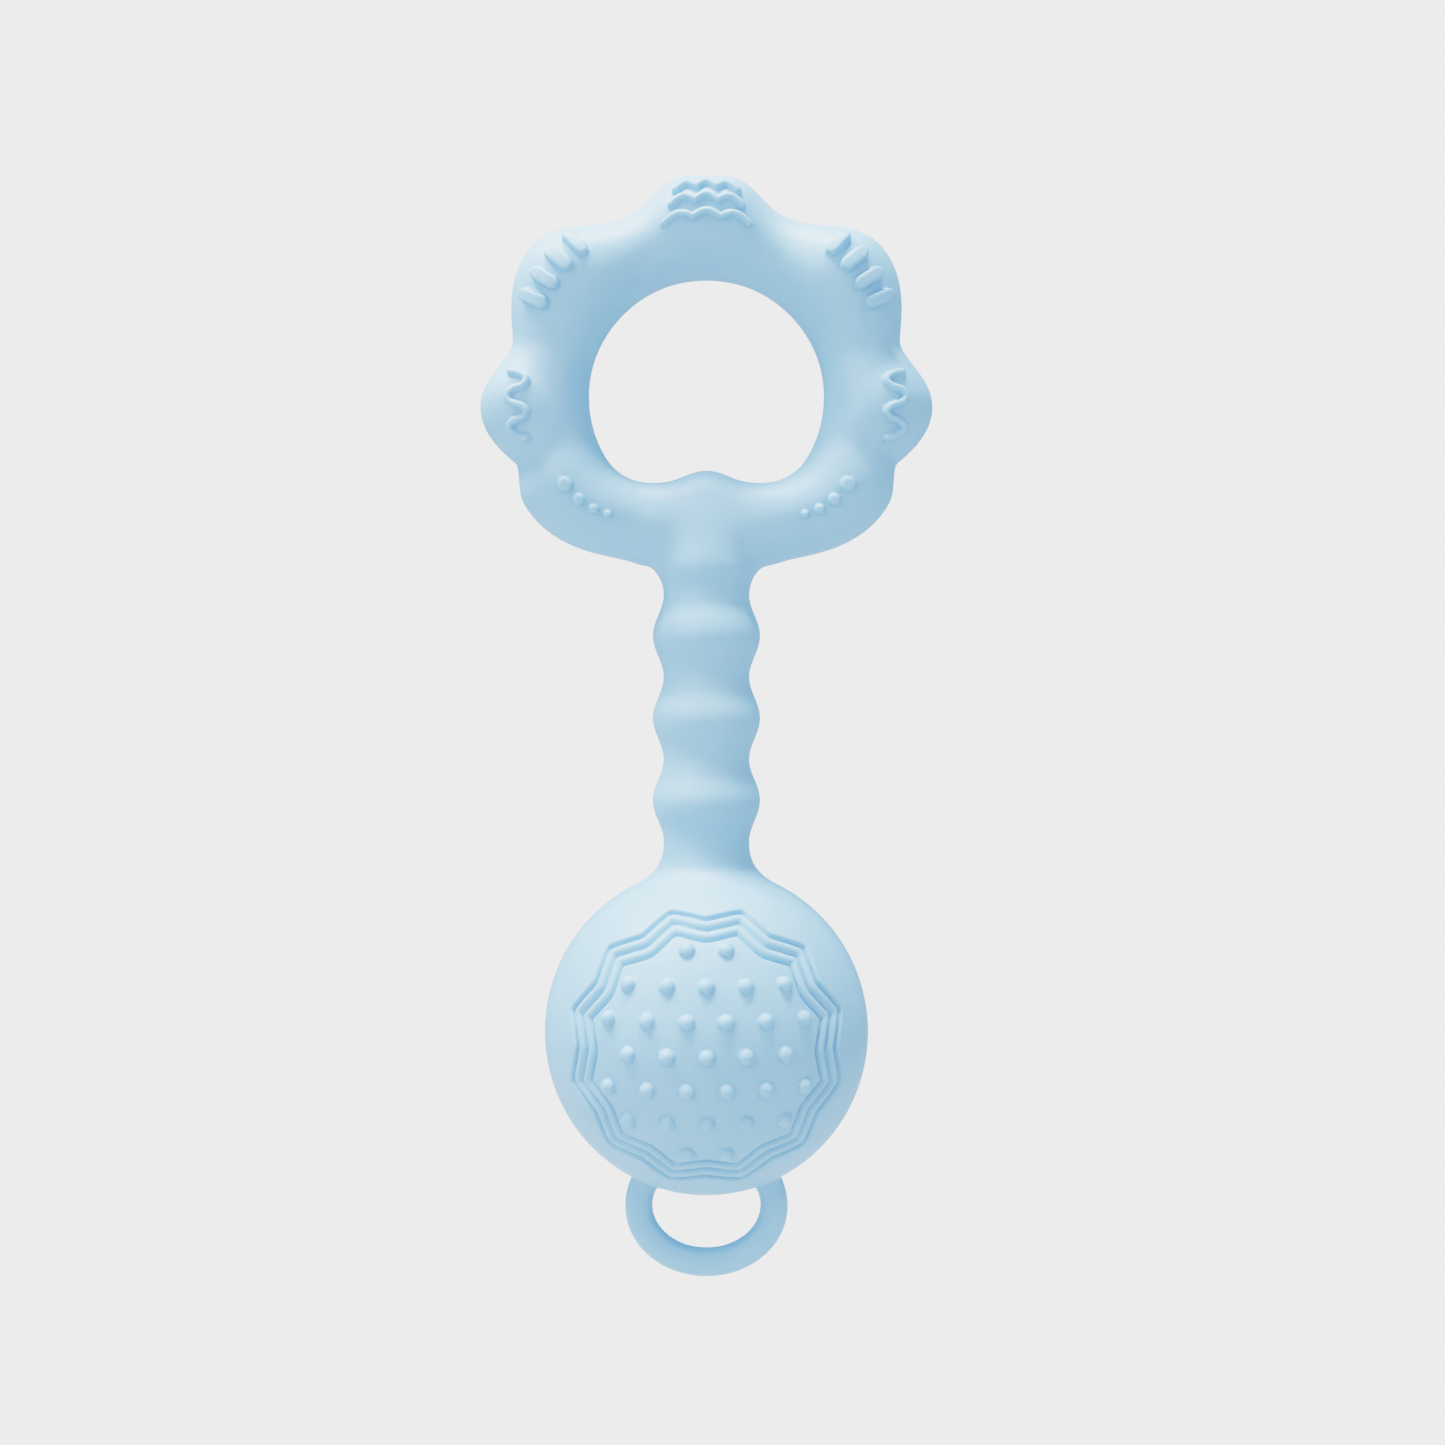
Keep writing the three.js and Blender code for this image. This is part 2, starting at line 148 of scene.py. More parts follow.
# (height above the ring's centre, half width, hump height over half width)
WAVES = ((30.25, 4.5, 0.16), (28.15, 5.1, 0.16), (25.7, 6.1, 0.13))
WAVE_HUMPS = 3
WAVE_DROP_SHARE = 0.15
# Turning points (distance from the long axis, height above the ring's centre)
SERPENTINE_TURNS = ((30.8, 3.6), (26.2, 1.0), (28.85, -1.25), (26.25, -3.6), (28.65, -5.5), (23.8, -8.6))
SERPENTINE_SQUARENESS = 0.6
RIDGE_HALF_WIDTH = 0.58
RIDGE_HEIGHT = 0.9

# Mesh
PITCH = 1.0
FINE_CUTS = 4
FINE_BORDER = 0.6
SEAM_BORDER = 1.0
# How far from the plain ball a point may lie and still take the star's grooves, or a finer mesh
GROOVE_SLACK = 0.5
FINE_SLACK = 1.2
# Putting a point of the front or back view on to the form: rounds, and the share of the distance moved
LIFT_ROUNDS = 60
LIFT_SHARE = 0.7


# ---- signed distances, in millimetres ----

def blend_union(a, b, reach):
    """The union of two distances with a fillet of about that reach."""
    share = np.clip(0.5 + 0.5 * (b - a) / reach, 0, 1)
    return b * (1 - share) + a * share - reach * share * (1 - share)


def blend_cut(a, b, reach):
    """What is left of a once b is cut away, with the edge rounded."""
    return -blend_union(-a, b, reach)


def outline_radius(degrees):
    """The ring's outer radius at an angle above or below the horizontal."""
    radius = np.full_like(degrees, RING_OUTLINE[-1][1])
    for (high, r_high, fullness), (low, r_low, _) in zip(RING_OUTLINE, RING_OUTLINE[1:]):
        here = (degrees <= high) & (degrees >= low)
        share = (degrees[here] - low) / (high - low)
        if r_high < r_low:
            share = 1 - share
        rise = np.sin(np.clip(share, 0, 1) * math.pi / 2) ** fullness
        radius[here] = min(r_high, r_low) + abs(r_high - r_low) * rise
    return radius


def hole_radius(degrees):
    """The hole's radius: round, and lifted over the grip at the bottom."""
    share = np.clip((HOLE_ROUND_DOWN_TO - degrees) / (HOLE_ROUND_DOWN_TO + 90), 0, 1)
    return HOLE_RADIUS - (HOLE_RADIUS - HOLE_FLOOR_RADIUS) * np.sin(share * math.pi / 2) ** HOLE_RISE


def ring_distance(p):
    x, y, z = np.abs(p[:, 0]), p[:, 1], p[:, 2] - RING_CENTRE_Z
    degrees = np.degrees(np.arctan2(z, x))
    outer, inner = outline_radius(degrees), hole_radius(degrees)
    middle, half_width = (outer + inner) / 2, (outer - inner) / 2
    half_depth = RING_HALF_DEPTH + LOBE_DEPTH_SHARE * np.maximum(0, outer - RING_WAIST)
    across = np.hypot(x, z) - middle
    level = np.hypot(across / half_width, y / half_depth) + 1e-6
    slope = np.hypot(across / half_width ** 2, y / half_depth ** 2) / level + 1e-6
    return (level - 1) / slope


def grip_distance(p):
    away, z = np.hypot(p[:, 0], p[:, 1]), p[:, 2]
    wavy = np.clip(z, GRIP_WAVY_FROM, GRIP_WAVY_TO)
    radius = GRIP_MEAN_RADIUS + GRIP_RIB_HEIGHT * np.cos(2 * math.pi * wavy / GRIP_RIB_PITCH)
    # Squared, so that the taper into the ring starts gently
    fade = np.clip((z - GRIP_WAVY_TO) / (GRIP_TOP_Z - GRIP_WAVY_TO), 0, 1) ** 2
    radius = radius + (GRIP_TOP_RADIUS - radius) * fade
    over = np.maximum(z - GRIP_TOP_Z, 0)
    side = np.hypot(away, over) - radius
    return np.maximum(side, BALL_CENTRE[2] + HOLLOW_RADIUS - z)


def ball_distance(p):
    return np.linalg.norm(p - BALL_CENTRE, axis=1) - BALL_RADIUS


def loop_distance(p):
    x, y, z = p[:, 0], p[:, 1], p[:, 2] - LOOP_CENTRE_Z
    level = np.hypot(x / LOOP_HALF_WIDTH, z / LOOP_HALF_HEIGHT) + 1e-6
    slope = np.hypot(x / LOOP_HALF_WIDTH ** 2, z / LOOP_HALF_HEIGHT ** 2) / level + 1e-6
    across = np.abs((level - 1) / slope) - (LOOP_BAND_HALF_WIDTH - LOOP_EDGE)
    deep = np.abs(y) - (LOOP_HALF_DEPTH - LOOP_EDGE)
    outside = np.hypot(np.maximum(across, 0), np.maximum(deep, 0))
    return outside + np.minimum(np.maximum(across, deep), 0) - LOOP_EDGE


def outer_distance(p):
    """The whole outer form, without relief, as if the ball were solid."""
    ball = blend_union(ball_distance(p), loop_distance(p), LOOP_BLEND)
    handle = blend_union(ring_distance(p), grip_distance(p), RING_BLEND)
    return blend_union(ball, handle, NECK_BLEND)


def cover_side(p, clearance):
    """The rear side of the joint round the cover and its spigot, moved back by the clearance."""
    q = p - BALL_CENTRE
    away, depth = np.hypot(q[:, 0], q[:, 2]), q[:, 1]
    spigot = np.maximum(away - SPIGOT_RADIUS + clearance, SPIGOT_DEPTH + clearance - depth)
    return np.minimum(COVER_RIM_DEPTH + clearance - depth, spigot)


def shell_distance(p):
    """The silicone wall: the outer form with the hollow for the capsule cut away."""
    hollow = np.linalg.norm(p - BALL_CENTRE, axis=1) - HOLLOW_RADIUS
    return blend_cut(outer_distance(p), hollow, EDGE_ROUND)


def body_distance(p):
    """The one-piece silicone body: the wall without the part that the cover closes."""
    return blend_cut(shell_distance(p), cover_side(p, -SEAM / 2), EDGE_ROUND)


def cover_distance(p):
    """The rear cover: the part of the wall that closes the opening."""
    return -blend_union(-shell_distance(p), -cover_side(p, SEAM / 2), EDGE_ROUND)


# ---- meshing ----

def surface_net(field, low):
    """Vertices and quads round the zero level of a field sampled every PITCH from low."""
    cells = np.array(field.shape) - 1
    total = np.zeros((cells.prod(), 3))
    count = np.zeros(cells.prod())
    quads = []
    for axis in range(3):
        n = field.shape[axis]
        here, there = np.take(field, range(n - 1), axis), np.take(field, range(1, n), axis)
        crossing = (here < 0) != (there < 0)
        at = np.argwhere(crossing)
        point = at.astype(float)
        point[:, axis] += here[crossing] / (here[crossing] - there[crossing])
        u, v = (axis + 1) % 3, (axis + 2) % 3
        corners = []
        for du, dv in ((-1, -1), (0, -1), (0, 0), (-1, 0)):
            cell = at.copy()
            cell[:, u] += du
            cell[:, v] += dv
            flat = np.ravel_multi_index(cell.T, cells)
            np.add.at(total, flat, point)
            np.add.at(count, flat, 1)
            corners.append(flat)
        quad = np.stack(corners, axis=1)
        inward = here[crossing] > 0
        quad[inward] = quad[inward][:, ::-1]
        quads.append(quad)
    quads = np.concatenate(quads)
    used, index = np.unique(quads, return_inverse=True)
    points = low + PITCH * total[used] / count[used][:, None]
    return points, index.reshape(quads.shape)


def gradient(distance, p, step=0.02):
    """The distance's slope at each point."""
    slope = np.empty_like(p)
    for axis in range(3):
        shift = np.zeros(3)
        shift[axis] = step
        slope[:, axis] = (distance(p + shift) - distance(p - shift)) / (2 * step)
    return slope


def settle(distance, p, rounds):
    """Moves points onto the surface where the distance is 0, and returns them with their normals."""
    for _ in range(rounds):
        slope = gradient(distance, p)
        size = np.maximum((slope ** 2).sum(axis=1), 0.05)
        p = p - slope * np.clip(distance(p) / size, -PITCH, PITCH)[:, None]
    slope = gradient(distance, p)
    return p, slope / np.linalg.norm(slope, axis=1)[:, None]


def sample(distance, low, high):
    """The distance on a grid from low to high, a slab at a time."""
    axes = [np.arange(a, b + PITCH, PITCH) for a, b in zip(low, high)]
    slabs = []
    for x in axes[0]:
        grid = np.stack(np.meshgrid([x], axes[1], axes[2], indexing="ij"), axis=-1)
        slabs.append(distance(grid.reshape(-1, 3)).reshape(grid.shape[1:3]))
    return np.stack(slabs)


def refine(points, quads, is_fine):
    """Cuts the quads that touch fine points into smaller ones."""
    mesh = bpy.data.meshes.new("net")
    mesh.from_pydata(points.tolist(), [], quads.tolist())
    bm = bmesh.new()
    bm.from_mesh(mesh)
    bpy.data.meshes.remove(mesh)
    flags = is_fine(points)
    edges = [e for e in bm.edges if flags[e.verts[0].index] or flags[e.verts[1].index]]
    bmesh.ops.subdivide_edges(bm, edges=edges, cuts=FINE_CUTS, use_grid_fill=True)
    return bm


def skin(name, distance, low, high):
    """A mesh piece of the silicone, with its relief raised."""
    low, high = np.array(low) - 2 * PITCH, np.array(high) + 2 * PITCH
    points, quads = surface_net(sample(distance, low, high), low)
    points, _ = settle(distance, points, 3)
    bm = refine(points, quads, near_relief)
    p = np.array([v.co for v in bm.verts])
    p, normal = settle(distance, p, 3)
    for vertex, co in zip(bm.verts, with_relief(p, normal) * MM):
        vertex.co = co
    return piece_from(name, bm)


def piece_from(name, bm):
    """A smooth-shaded object from a bmesh, which is freed."""
    bmesh.ops.recalc_face_normals(bm, faces=bm.faces)
    mesh = bpy.data.meshes.new(name)
    bm.to_mesh(mesh)
    bm.free()
    mesh.polygons.foreach_set("use_smooth", [True] * len(mesh.polygons))
    piece = bpy.data.objects.new(name, mesh)
    bpy.context.collection.objects.link(piece)
    return piece


# ---- relief: heights over the smooth form, by distance from routes drawn on it ----

def lift(xz, side):
    """Points on the outer form's front (side -1) or back (side 1) face over (x, z) points."""
    xz = np.asarray(xz, float)
    y = np.full(len(xz), side * (BALL_RADIUS + 2))
    for _ in range(LIFT_ROUNDS):
        p = np.stack([xz[:, 0], y, xz[:, 1]], axis=1)
        y = y - side * LIFT_SHARE * outer_distance(p)
    return np.stack([xz[:, 0], y, xz[:, 1]], axis=1)


def nearest_on_route(p, route):
    """The nearest point to each point on a chain of straight steps."""
    best = np.repeat(route[:1], len(p), axis=0)
    away = np.linalg.norm(p - best, axis=1)
    for a, b in zip(route, route[1:]):
        step = b - a
        share = np.clip((p - a) @ step / (step @ step), 0, 1)
        spot = a + share[:, None] * step
        here = np.linalg.norm(p - spot, axis=1)
        best[here < away] = spot[here < away]
        away = np.minimum(away, here)
    return best


def section(t, edge, slimness):
    """A mark's cross-section, flat with a rounded edge of that share of its half width.

    Returns (share of the half width, share of the height) evenly spaced over the outline for t from
    0 in the middle to 1 at the foot.
    """
    flat = (1 - edge) / (1 - edge + math.pi / 4 * (edge + slimness))
    turn = np.clip((t - flat) / (1 - flat), 0, 1) * math.pi / 2
    on_top = t < flat
    across = np.where(on_top, t / max(flat, 1e-6) * (1 - edge), 1 - edge + edge * np.sin(turn))
    return across, np.where(on_top, 1, np.cos(turn))


def polar_points(degrees, radii):
    """(x, z) on the ring's right half from an angle and a radius."""
    angle = np.radians(degrees)
    return np.stack([radii * np.cos(angle), RING_CENTRE_Z + radii * np.sin(angle)], axis=-1)


def nub_centres():
    rows = int(NUB_FIELD_RADIUS / NUB_ROW_PITCH)
    columns = math.ceil(NUB_FIELD_RADIUS / NUB_PITCH)
    centres = []
    for row in range(-rows, rows + 1):
        for column in range(-columns, columns + 1):
            x, z = (column + row % 2 / 2) * NUB_PITCH, row * NUB_ROW_PITCH
            if math.hypot(x, z) <= NUB_FIELD_RADIUS:
                centres.append((x, BALL_CENTRE[2] + z))
    return np.array(centres)


def wave_route(top, half_width, hump_share):
    share = np.linspace(-1, 1, 49)
    hump = np.abs(np.cos(share * WAVE_HUMPS * math.pi / 2)) - 1
    z = top + hump_share * half_width * hump - WAVE_DROP_SHARE * half_width * share ** 2
    return np.stack([share * half_width, RING_CENTRE_Z + z], axis=1)


def serpentine_route():
    """A wandering line that starts and ends halfway through its first and last swings."""
    swings = len(SERPENTINE_TURNS) - 1
    route = []
    for run in np.linspace(0.5, swings - 0.5, swings * 12 + 1):
        swing = min(int(run), swings - 1)
        (from_x, from_z), (to_x, to_z) = SERPENTINE_TURNS[swing], SERPENTINE_TURNS[swing + 1]
        share = run - swing
        lean = math.cos(share * math.pi)
        lean = math.copysign(abs(lean) ** SERPENTINE_SQUARENESS, lean)
        route.append(((from_x + to_x + lean * (from_x - to_x)) / 2,
                      RING_CENTRE_Z + from_z + (to_z - from_z) * share))
    return np.array(route)


def mirrored(xz):
    return xz * [-1, 1]


def raised_marks():
    """Every raised mark as (route on the form, half width, height, share of it that is rounded)."""
    marks = []
    for side in (-1, 1):
        for centre in nub_centres():
            marks.append((lift([centre], side), NUB_RADIUS, NUB_HEIGHT, 1))
        for wave in WAVES:
            marks.append((lift(wave_route(*wave), side), RIDGE_HALF_WIDTH, RIDGE_HEIGHT, 1))
        reach = BAR_LENGTH / 2 - BAR_HALF_WIDTH
        for flip in (np.array, mirrored):
            for degrees in BAR_ANGLES:
                ends = polar_points(degrees, BAR_CENTRE_RADIUS + np.array([-reach, 0, reach]))
                marks.append((lift(flip(ends), side), BAR_HALF_WIDTH, BAR_HEIGHT, BAR_EDGE_SHARE))
            for degrees, radius, dot_radius in DOTS:
                centre = polar_points(degrees, np.array([radius]))
                marks.append((lift(flip(centre), side), dot_radius, DOT_HEIGHT, DOT_EDGE_SHARE))
            marks.append((lift(flip(serpentine_route()), side), RIDGE_HALF_WIDTH, RIDGE_HEIGHT, 1))
    return marks


def star_offset(p):
    """Signed distance over the ball from the middle star line, on the nearer face, outwards positive."""
    q = p - BALL_CENTRE
    size = np.linalg.norm(q, axis=1) + 1e-9
    radius = BALL_RADIUS * np.arccos(np.clip(np.abs(q[:, 1]) / size, 0, 1))
    sector = math.pi / STAR_POINTS
    angle = np.arctan2(q[:, 2], q[:, 0]) - math.pi / 2
    angle = np.abs((angle + sector) % (2 * sector) - sector)
    lean = math.atan2(STAR_PEAK * math.cos(sector) - STAR_VALLEY, STAR_PEAK * math.sin(sector))
    past_valley, to_peak = radius * np.sin(angle), radius * np.sin(sector - angle)
    offset = (radius * np.cos(angle) - STAR_VALLEY) * math.cos(lean) - past_valley * math.sin(lean)
    valley_round = np.clip(STAR_VALLEY_ROUND + STAR_VALLEY_GROWTH * offset, 0.1, 1)
    peak_round = np.clip(STAR_PEAK_ROUND + STAR_PEAK_GROWTH * offset, 0.1, 1)
    offset -= math.sin(lean) * (np.hypot(past_valley, valley_round) - past_valley)
    return offset + math.sin(lean + sector) * (np.hypot(to_peak, peak_round) - to_peak)


def groove_depth(p):
    """The depth of the three star grooves, with two rounded ridges between them."""
    offset = np.abs(star_offset(p))
    arch = np.hypot(np.sin(math.pi * offset / GROOVE_PITCH), GROOVE_BOTTOM_ROUND)
    wall = np.hypot(np.clip((offset - GROOVE_PITCH) / GROOVE_OUTER_WALL, 0, 1), GROOVE_BOTTOM_ROUND)
    risen = np.where(offset < GROOVE_PITCH, arch ** GROOVE_FLATNESS, wall * (2 - wall))
    return GROOVE_DEPTH * np.clip(1 - risen, 0, 1)


MARKS = raised_marks()


def on_ball_skin(p, slack):
    return np.abs(ball_distance(p)) < slack


def near_mark(p, mark, border):
    """The indices of the points within a border round a mark, and the nearest points on its route."""
    route, half_width = mark[:2]
    low, high = route.min(axis=0) - half_width - border, route.max(axis=0) + half_width + border
    near = np.flatnonzero(((p > low) & (p < high)).all(axis=1))
    nearest = nearest_on_route(p[near], route)
    inside = np.linalg.norm(p[near] - nearest, axis=1) < half_width + border
    return near[inside], nearest[inside]


def with_relief(p, normal):
    """The points of the plain form moved on to the relief."""
    moved = p.copy()
    sunk = on_ball_skin(p, GROOVE_SLACK)
    moved[sunk] -= normal[sunk] * groove_depth(p[sunk])[:, None]
    for mark in MARKS:
        _, half_width, rise, edge = mark
        near, nearest = near_mark(p, mark, 0)
        away = p[near] - nearest
        reach = np.linalg.norm(away, axis=1)[:, None] + 1e-9
        across, up = section(reach / half_width, edge, rise / half_width)
        moved[near] = nearest + away / reach * half_width * across + normal[near] * rise * up
    return moved


def near_relief(p):
    """Which points lie near relief or the cover's seam, so the mesh is finer there."""
    star = np.abs(star_offset(p)) < GROOVE_PITCH + GROOVE_OUTER_WALL + FINE_BORDER
    seam = np.abs(p[:, 1] - COVER_RIM_DEPTH) < SEAM_BORDER
    fine = on_ball_skin(p, FINE_SLACK) & (star | seam)
    for mark in MARKS:
        fine[near_mark(p, mark, FINE_BORDER)[0]] = True
    return fine


# ---- the capsule and its beads ----

def turned(name, profile, side, steps=96):
    """A piece turned about the ball's front axis from (distance, depth) points in millimetres."""
    bm = bmesh.new()
    rings = []
    for away, depth in profile:
        if away < 1e-6:
            rings.append([bm.verts.new((0, side * depth * MM, BALL_CENTRE[2] * MM))] * steps)
            continue
        ring = []
        for i in range(steps):
            angle = 2 * math.pi * i / steps
            ring.append(bm.verts.new((away * math.cos(angle) * MM, side * depth * MM,
                                      (BALL_CENTRE[2] + away * math.sin(angle)) * MM)))
        rings.append(ring)
    for one, two in zip(rings, rings[1:]):
        for i in range(steps):
            corners = (one[i], one[(i + 1) % steps], two[(i + 1) % steps], two[i])
            bm.faces.new(list(dict.fromkeys(corners)))
    return piece_from(name, bm)


def arc(radius, start_depth, steps=24):
    """(distance, depth) points on a sphere from the axis down to a depth."""
    last = math.acos(start_depth / radius)
    return [(radius * math.sin(last * i / steps), radius * math.cos(last * i / steps))
            for i in range(steps + 1)]


def capsule_half(name, side):
    """Half of the rattle capsule, with its lip or its rebate."""
    middle = (CAPSULE_RADIUS + CAPSULE_INNER_RADIUS) / 2
    seam = GAP / 2
    rim = [(CAPSULE_RADIUS - CAPSULE_CHAMFER, seam)]
    if side < 0:
        rim += [(middle - seam, seam), (middle - seam, CAPSULE_CHAMFER - LIP_LENGTH),
                (middle - seam - CAPSULE_CHAMFER, -LIP_LENGTH), (CAPSULE_INNER_RADIUS, -LIP_LENGTH)]
        inner_end = 0.0
    else:
        inner_end = LIP_LENGTH + GAP
        rim += [(middle + seam, seam), (middle + seam, inner_end)]
    inner = arc(CAPSULE_INNER_RADIUS, inner_end)[::-1]
    return turned(name, arc(CAPSULE_RADIUS, seam + CAPSULE_CHAMFER) + rim + inner, side)


def bead(name, node):
    """A moulded bead with a faint raised equator, in the place of its CAD node."""
    low, high = (np.array(c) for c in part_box(node))
    centre, radius = (low + high) / 2, (high - low)[0] / 2
    bm = bmesh.new()
    bmesh.ops.create_uvsphere(bm, u_segments=40, v_segments=24, radius=radius)
    for vertex in bm.verts:
        flash = math.exp(-(vertex.co.z / (BEAD_FLASH_WIDTH * radius)) ** 2)
        vertex.co *= 1 + BEAD_FLASH_RISE * flash
        vertex.co += Vector(centre)
    return piece_from(name, bm)


# ---- materials ----

def new_material(name):
    material = bpy.data.materials.new(name)
    material.use_nodes = True
    nodes = material.node_tree.nodes
    return material, nodes, material.node_tree.links, nodes["Principled BSDF"]


def noise(nodes, links, coords, scale, detail, roughness=0.5):
    texture = nodes.new("ShaderNodeTexNoise")
    texture.inputs["Scale"].default_value = scale
    texture.inputs["Detail"].default_value = detail
    texture.inputs["Roughness"].default_value = roughness
    links.new(coords.outputs["Object"], texture.inputs["Vector"])
    return texture.outputs["Fac"]


def ramp(nodes, links, factor, stops):
    node = nodes.new("ShaderNodeValToRGB")
    node.color_ramp.elements[0].position, node.color_ramp.elements[0].color = stops[0]
    node.color_ramp.elements[1].position, node.color_ramp.elements[1].color = stops[1]
    links.new(factor, node.inputs["Fac"])
    return node.outputs["Color"]


def bump(nodes, links, height, strength, distance, below=None):
    node = nodes.new("ShaderNodeBump")
    node.inputs["Strength"].default_value = strength
    node.inputs["Distance"].default_value = distance
    links.new(height, node.inputs["Height"])
    if below is not None:
        links.new(below, node.inputs["Normal"])
    return node.outputs["Normal"]


def silicone_material():
    """Satin pale blue silicone: soft scatter, faint cloudiness and a fine moulded grain."""
    material, nodes, links, shader = new_material("satin_silicone")
    coords = nodes.new("ShaderNodeTexCoord")
    cloud = noise(nodes, links, coords, 60, 3)
    tint = ramp(nodes, links, cloud, ((0.3, (0.282, 0.492, 0.724, 1)), (0.7, (0.302, 0.508, 0.738, 1))))
    links.new(tint, shader.inputs["Base Color"])
    handled = noise(nodes, links, coords, 180, 4, 0.6)
    satin = nodes.new("ShaderNodeMapRange")
    satin.inputs["To Min"].default_value = 0.42
    satin.inputs["To Max"].default_value = 0.54
    links.new(handled, satin.inputs["Value"])
    links.new(satin.outputs["Result"], shader.inputs["Roughness"])
    grain = noise(nodes, links, coords, 2600, 2)
    links.new(bump(nodes, links, grain, 0.12, 0.00004), shader.inputs["Normal"])
    shader.inputs["IOR"].default_value = 1.43
    shader.inputs["Subsurface Weight"].default_value = 0.15
    shader.inputs["Subsurface Radius"].default_value = (0.8, 1.0, 1.0)
    shader.inputs["Subsurface Scale"].default_value = 0.0015
    return material


def plastic_material(name, colour, low, high, grain_scale):
    """Moulded plastic with a slightly uneven gloss."""
    material, nodes, links, shader = new_material(name)
    coords = nodes.new("ShaderNodeTexCoord")
    mottle = noise(nodes, links, coords, 90, 3)
    darker = tuple(0.94 * c for c in colour)
    links.new(ramp(nodes, links, mottle, ((0.3, (*darker, 1)), (0.7, (*colour, 1)))),
              shader.inputs["Base Color"])
    gloss = nodes.new("ShaderNodeMapRange")
    gloss.inputs["To Min"].default_value = low
    gloss.inputs["To Max"].default_value = high
    links.new(mottle, gloss.inputs["Value"])
    links.new(gloss.outputs["Result"], shader.inputs["Roughness"])
    grain = noise(nodes, links, coords, grain_scale, 2)
    links.new(bump(nodes, links, grain, 0.1, 0.00003), shader.inputs["Normal"])
    shader.inputs["IOR"].default_value = 1.49
    return material


# ---- the object ----

def dress(piece, material, body, slot_name, *nodes):
    piece.data.materials.append(material)
    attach(piece, body)
    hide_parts(*nodes)


silicone = silicone_material()
capsule_plastic = plastic_material("capsule_plastic", (0.82, 0.82, 0.79), 0.3, 0.42, 1500)
bead_plastic = plastic_material("bead_plastic", (0.86, 0.80, 0.66), 0.16, 0.26, 1200)

body_low, body_high = (np.array(c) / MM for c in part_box("silicone_body"))
cover_low, cover_high = (np.array(c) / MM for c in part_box("rear_cover"))
body_skin = skin("silicone_skin", body_distance, body_low, body_high)
dress(body_skin, silicone, "teether", "silicone", "silicone_body")
cover_skin = skin("cover_skin", cover_distance, cover_low, cover_high)
dress(cover_skin, silicone, "teether", "silicone", "rear_cover")
for end, side in (("front", -1), ("rear", 1)):
    dress(capsule_half(f"capsule_{end}_shell", side), capsule_plastic, "teether", "capsule",
          f"rattle_capsule_{end}")
for lane in ("centre", *range(1, 7)):
    dress(bead(f"bead_{lane}_ball", f"rattle_bead_{lane}"), bead_plastic, f"bead_{lane}", "bead",
          f"rattle_bead_{lane}")


# ---- the studio ----

CAMERA_DISTANCE = 0.2816
CAMERA_LENS = 46.8
CAMERA_SHIFT = (0.0111, -0.0031)
PALE = 1.408
AMBIENT_BEHIND = (0.28, 0.56, 0.78)
AMBIENT_IN_FRONT = (0.63, 0.63, 0.67)
TOWARDS_FRONT = (-0.1, -0.8, 0.59)
FLOOR_DROP = 0.12
FLOOR_REACH = 4.0
FLOOR_FADE = (0.15, 0.25)
STUDIO_RADIUS = 0.7
# (name, azimuth, elevation, size, power)
LIGHTS = (("key_left", -90, 58, 0.12, 3.0), ("key_middle", -60, 62, 0.12, 1.8),
          ("key_top", -12, 84.5, 0.1, 4.6),
          ("low_left", -45, 20, 0.4, 1.3), ("low_right", 45, 20, 0.4, 0.7))

scene = bpy.context.scene
scene.view_settings.view_transform = "Filmic"
scene.view_settings.look = "Very High Contrast"


def camera():
    """A camera square to the front, level with the middle of the grip."""
    data = bpy.data.cameras.new("camera")
    data.lens = CAMERA_LENS
    data.sensor_width = 36
    data.shift_x, data.shift_y = CAMERA_SHIFT
    rig = bpy.data.objects.new("camera", data)
    rig.location = (0, -CAMERA_DISTANCE, 0)
    rig.rotation_euler = (math.pi / 2, 0, 0)
    scene.collection.objects.link(rig)
    scene.camera = rig


def softbox(name, azimuth, elevation, size, power):
    """A square softbox STUDIO_RADIUS away, from an azimuth where 0 is the front and 90 the right."""
    turn, rise = math.radians(azimuth), math.radians(elevation)
    away = Vector((math.sin(turn) * math.cos(rise), -math.cos(turn) * math.cos(rise), math.sin(rise)))
    data = bpy.data.lights.new(name, "AREA")
    data.shape = "SQUARE"
    data.size = size
    data.energy = power
    lamp = bpy.data.objects.new(name, data)
    lamp.location = STUDIO_RADIUS * away
    lamp.rotation_euler = (-away).to_track_quat("-Z", "Y").to_euler()
    scene.collection.objects.link(lamp)


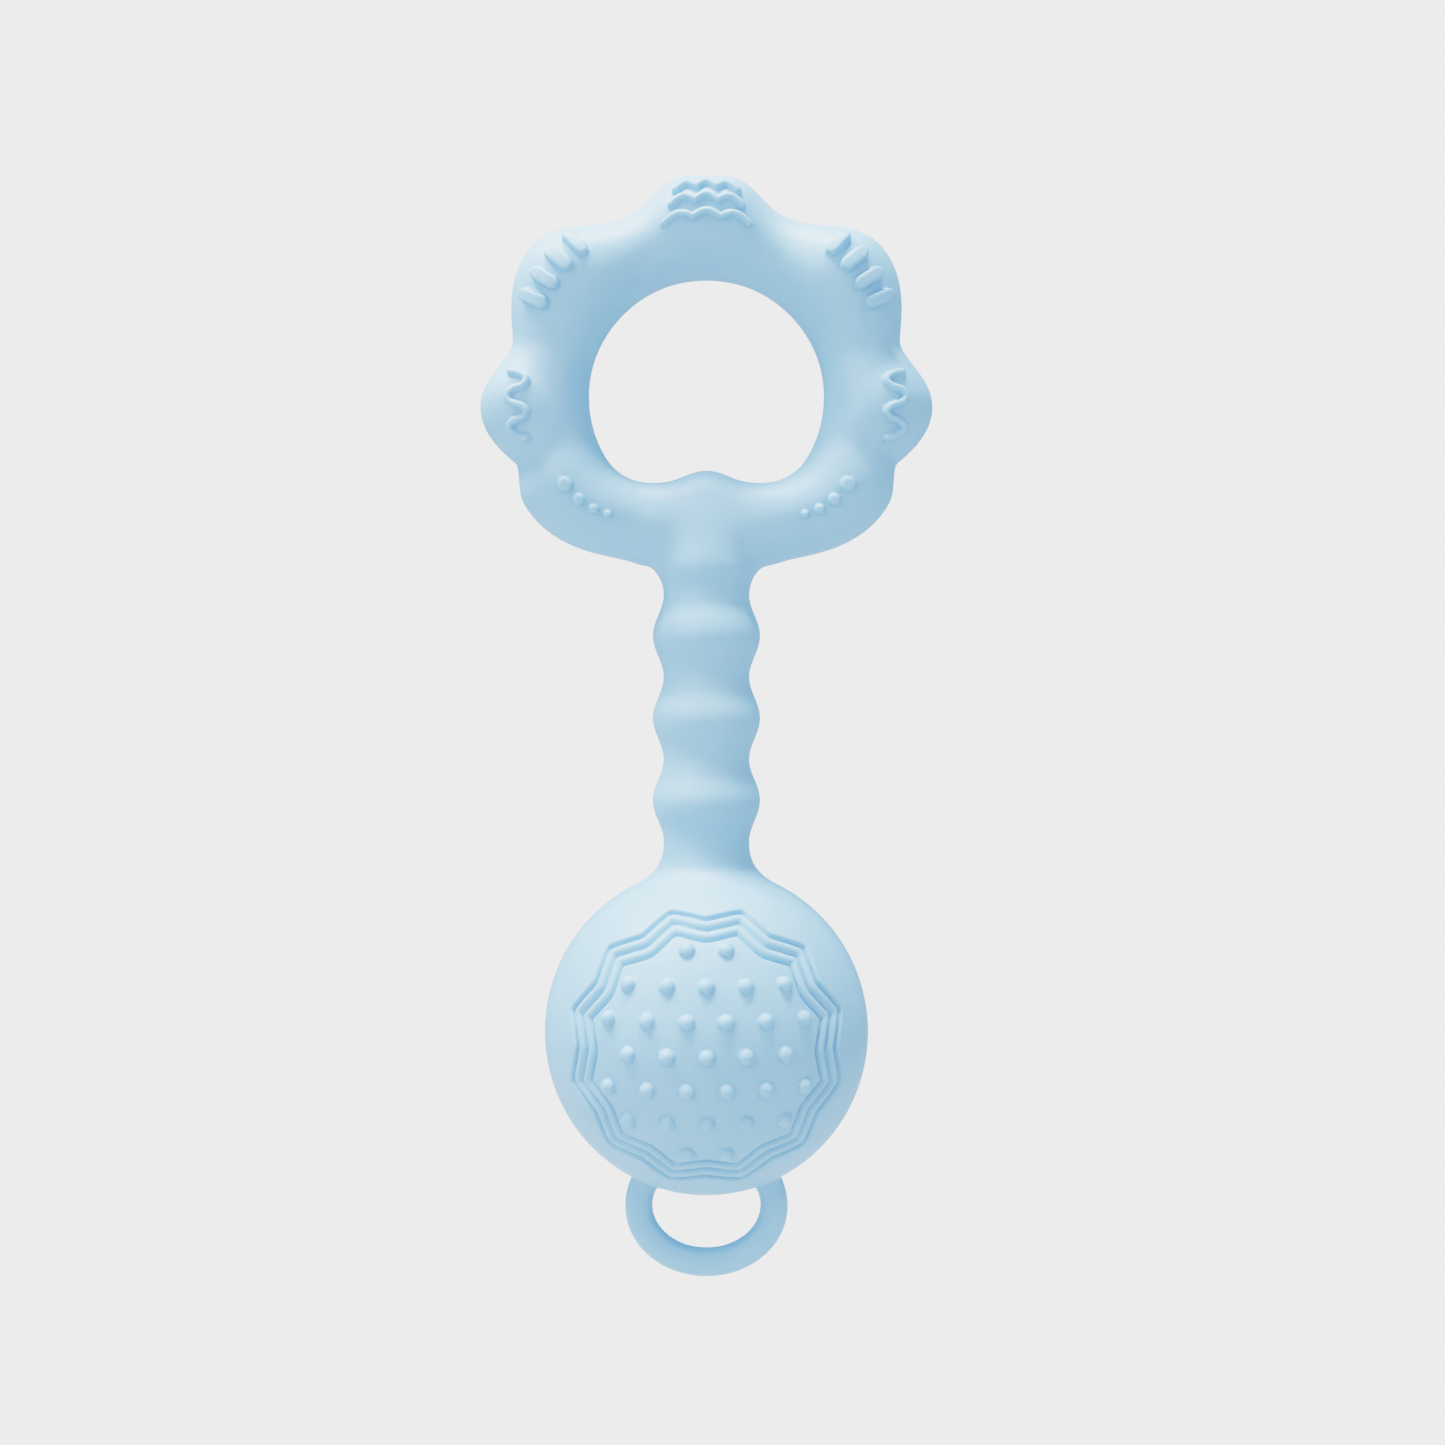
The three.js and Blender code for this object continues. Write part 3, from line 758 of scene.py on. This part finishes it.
def surroundings():
    """A pale backdrop to look at, and a dimmer light from it that is brightest from the front."""
    world = bpy.data.worlds.new("studio")
    world.use_nodes = True
    nodes, links = world.node_tree.nodes, world.node_tree.links
    coords = nodes.new("ShaderNodeTexCoord")
    facing = nodes.new("ShaderNodeVectorMath")
    facing.operation = "DOT_PRODUCT"
    facing.inputs[1].default_value = TOWARDS_FRONT
    links.new(coords.outputs["Generated"], facing.inputs[0])
    share = nodes.new("ShaderNodeMapRange")
    share.inputs["From Min"].default_value = -1
    links.new(facing.outputs["Value"], share.inputs["Value"])
    ambient = nodes.new("ShaderNodeMix")
    ambient.data_type = "RGBA"
    ambient.inputs["A"].default_value = (*AMBIENT_BEHIND, 1)
    ambient.inputs["B"].default_value = (*AMBIENT_IN_FRONT, 1)
    links.new(share.outputs["Result"], ambient.inputs["Factor"])
    path = nodes.new("ShaderNodeLightPath")
    level = nodes.new("ShaderNodeMix")
    level.data_type = "RGBA"
    level.inputs["B"].default_value = (PALE, PALE, PALE, 1)
    links.new(ambient.outputs["Result"], level.inputs["A"])
    links.new(path.outputs["Is Camera Ray"], level.inputs["Factor"])
    links.new(level.outputs["Result"], nodes["Background"].inputs["Color"])
    scene.world = world


def floor():
    """A pale matt floor under the held teether. Seen from afar it fades into the backdrop."""
    mesh = bpy.data.meshes.new("floor")
    height = CAD_BOX[0][2] - FLOOR_DROP
    corners = ((-1, -1), (1, -1), (1, 1), (-1, 1))
    mesh.from_pydata([(FLOOR_REACH * x, FLOOR_REACH * y, height) for x, y in corners], [], [(0, 1, 2, 3)])
    sheet = bpy.data.objects.new("floor", mesh)
    scene.collection.objects.link(sheet)
    material, nodes, links, shader = new_material("floor")
    nodes.remove(shader)
    coords = nodes.new("ShaderNodeTexCoord")
    flat = nodes.new("ShaderNodeVectorMath")
    flat.operation = "MULTIPLY"
    flat.inputs[1].default_value = (1, 1, 0)
    links.new(coords.outputs["Object"], flat.inputs[0])
    reach = nodes.new("ShaderNodeVectorMath")
    reach.operation = "LENGTH"
    links.new(flat.outputs["Vector"], reach.inputs[0])
    fade = nodes.new("ShaderNodeMapRange")
    fade.interpolation_type = "SMOOTHSTEP"
    fade.inputs["From Min"].default_value, fade.inputs["From Max"].default_value = FLOOR_FADE
    links.new(reach.outputs["Value"], fade.inputs["Value"])
    path = nodes.new("ShaderNodeLightPath")
    share = nodes.new("ShaderNodeMath")
    share.operation = "MULTIPLY"
    links.new(fade.outputs["Result"], share.inputs[0])
    links.new(path.outputs["Is Camera Ray"], share.inputs[1])
    matt = nodes.new("ShaderNodeBsdfDiffuse")
    matt.inputs["Color"].default_value = (0.62, 0.62, 0.62, 1)
    glow = nodes.new("ShaderNodeEmission")
    glow.inputs["Color"].default_value = (1, 1, 1, 1)
    glow.inputs["Strength"].default_value = PALE
    mix = nodes.new("ShaderNodeMixShader")
    links.new(share.outputs["Value"], mix.inputs[0])
    links.new(matt.outputs[0], mix.inputs[1])
    links.new(glow.outputs[0], mix.inputs[2])
    links.new(mix.outputs[0], nodes["Material Output"].inputs["Surface"])
    mesh.materials.append(material)


camera()
surroundings()
floor()
for light in LIGHTS:
    softbox(*light)
